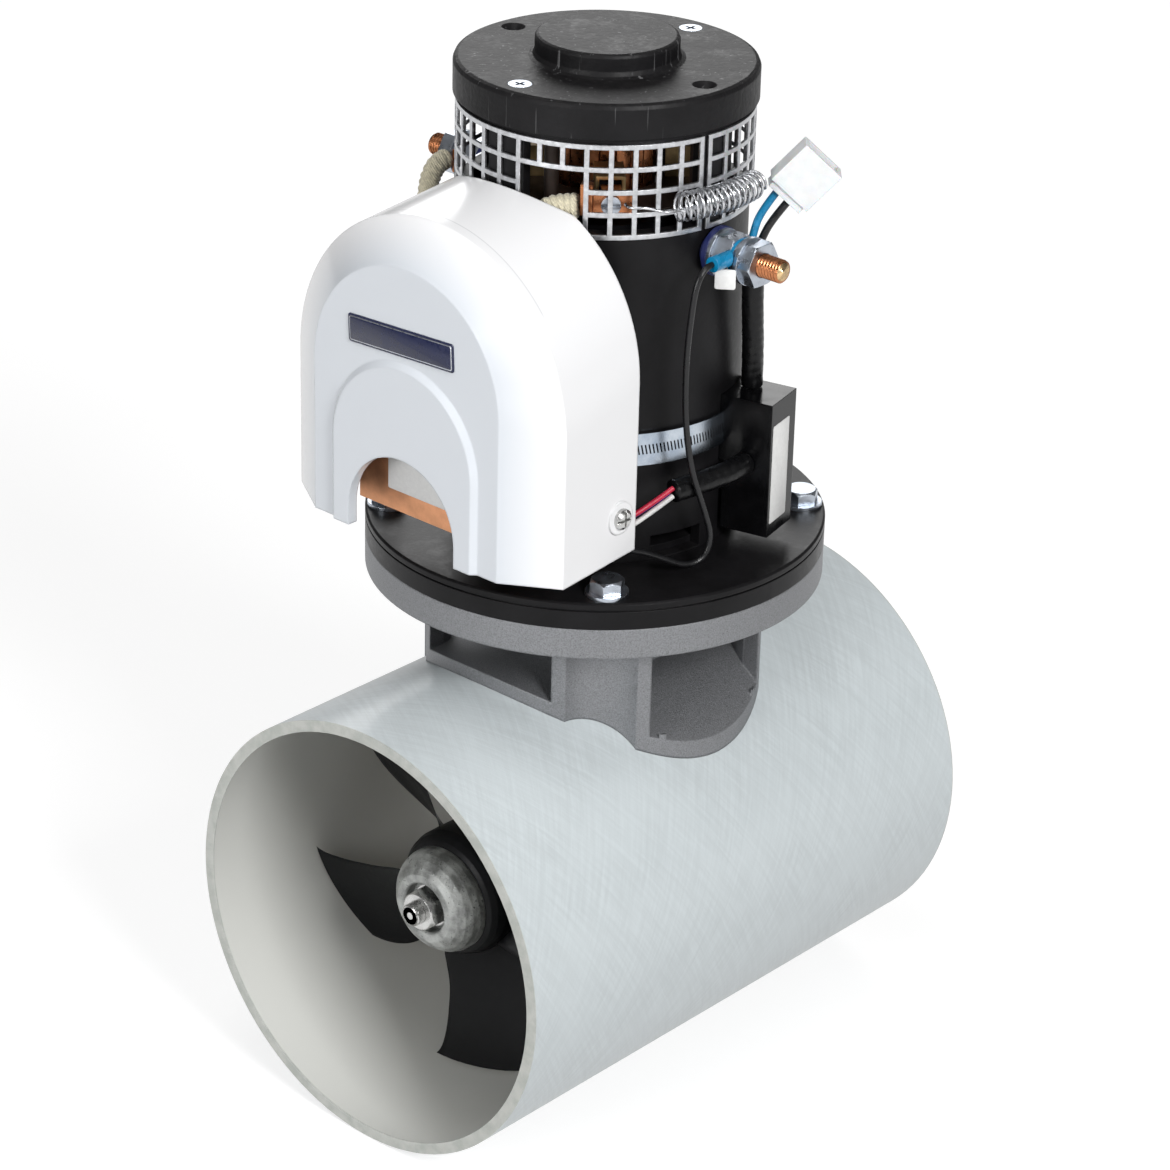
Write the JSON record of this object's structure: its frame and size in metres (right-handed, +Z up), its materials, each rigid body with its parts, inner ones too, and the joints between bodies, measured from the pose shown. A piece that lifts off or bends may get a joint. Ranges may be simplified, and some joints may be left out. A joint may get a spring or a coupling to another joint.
{
  "type": "tunnel bow thruster",
  "caption": "Electric bow thruster: upright motor with covered contactors on a cast saddle, driving a bladed propeller inside a glass-fibre tunnel.",
  "frame": {"origin": "where the tunnel's axis meets the motor's axis", "axes": "+Z up along the motor, -Y out of the tunnel's propeller end, +X to the right seen from that end"},
  "size_m": [0.196, 0.278, 0.4626],
  "materials": {
    "grp": "filament-wound glass fibre",
    "cork": "matt",
    "bronze": "cast bronze, satin",
    "stainless": "satin",
    "cast_alloy": "grit blasted",
    "black_paint": "satin",
    "zinc_steel": "zinc plated",
    "lamination": "dull",
    "winding": "varnished copper",
    "cap_paint": "rough cast, satin",
    "galvanised": "galvanised",
    "spring_steel": "bright",
    "phenolic": "matt",
    "brass_sheet": "stamped",
    "carbon": "matt",
    "copper": "bare copper",
    "insulator": "matt",
    "blue_vinyl": "gloss",
    "relay_case": "gloss",
    "white_cover": "gloss",
    "passivated": "yellow passivated",
    "coil_tape": "taped",
    "black_moulding": "matt",
    "strap_cloth": "woven",
    "grey_wire": "matt",
    "sleeving": "matt",
    "wire_mixed": "satin",
    "lead_mixed": "satin",
    "nylon": "milky",
    "bearing_steel": "polished",
    "seal_rubber": "matt",
    "shaft_steel": "ground",
    "spider_rubber": "matt",
    "prop_black": "satin",
    "zinc": "cast zinc, mottled",
    "plunger_steel": "plated"
  },
  "bodies": {
    "housing": {"tunnel": "grp", "leg_gasket": "cork", "gear_leg": "bronze", "leg_end_cap": "bronze", "leg_screws": "stainless", "saddle_bracket": "cast_alloy", "base_plate": "black_paint", "base_bolts": "zinc_steel", "base_washers": "zinc_steel", "motor_body": "black_paint", "field_poles": "lamination", "field_coils": "winding", "end_cap": "cap_paint", "cap_screws": "zinc_steel", "mesh_band": "galvanised", "band_spring": "spring_steel", "brush_ring": "phenolic", "brush_holders": "brass_sheet", "brushes": "carbon", "copper_lugs": "copper", "lead_screw": "zinc_steel", "terminal_studs": "copper", "stud_insulators": "insulator", "stud_washers": "zinc_steel", "stud_nuts": "zinc_steel", "ring_terminal": "blue_vinyl", "hose_clamp": "stainless", "relay_box": "relay_case", "contactor_cover": "white_cover", "cover_screws": "stainless", "contactor_bracket": "passivated", "contactor_frame": "passivated", "contactor_coils": "coil_tape", "contactor_housing": "black_moulding", "contactor_terminals": "copper", "power_straps": "strap_cloth", "loop_wire": "grey_wire", "relay_sleeves": "sleeving", "control_wires": "wire_mixed", "plug_leads": "lead_mixed", "connector_plug": "nylon", "motor_bearings": "bearing_steel", "leg_bearings": "bearing_steel", "shaft_seals": "seal_rubber"},
    "rotor": {"motor_shaft": "shaft_steel", "armature": "lamination", "commutator": "copper", "coupling_upper": "cast_alloy", "coupling_spider": "spider_rubber", "coupling_lower": "cast_alloy", "pinion_shaft": "shaft_steel"},
    "propeller_shaft": {"prop_shaft": "stainless", "bevel_gear": "shaft_steel", "propeller": "prop_black", "anode": "zinc", "prop_washer": "stainless", "prop_nut": "stainless", "drive_pin": "stainless"},
    "left_plunger": {"plunger_left": "plunger_steel"},
    "right_plunger": {"plunger_right": "plunger_steel"}
  },
  "joints": [
    {"name": "motor_spin", "type": "hinge", "parent": "housing", "child": "rotor", "pos_m": [0, 0, 0], "axis": [0, 0, 1], "continuous": true},
    {"name": "propeller_spin", "type": "hinge", "parent": "housing", "child": "propeller_shaft", "pos_m": [0, 0, 0], "axis": [0, 1, 0], "continuous": true},
    {"name": "plunger_left_slide", "type": "slide", "parent": "housing", "child": "left_plunger", "axis": [0, 0, -1], "range_m": [0, 0.003], "stiffness_N_per_m": 400, "springref_m": -0.004},
    {"name": "plunger_right_slide", "type": "slide", "parent": "housing", "child": "right_plunger", "axis": [0, 0, -1], "range_m": [0, 0.003], "stiffness_N_per_m": 400, "springref_m": -0.004}
  ],
  "couplings": [
    {"joint": "propeller_spin", "follows": "motor_spin", "ratio": -0.5}
  ]
}
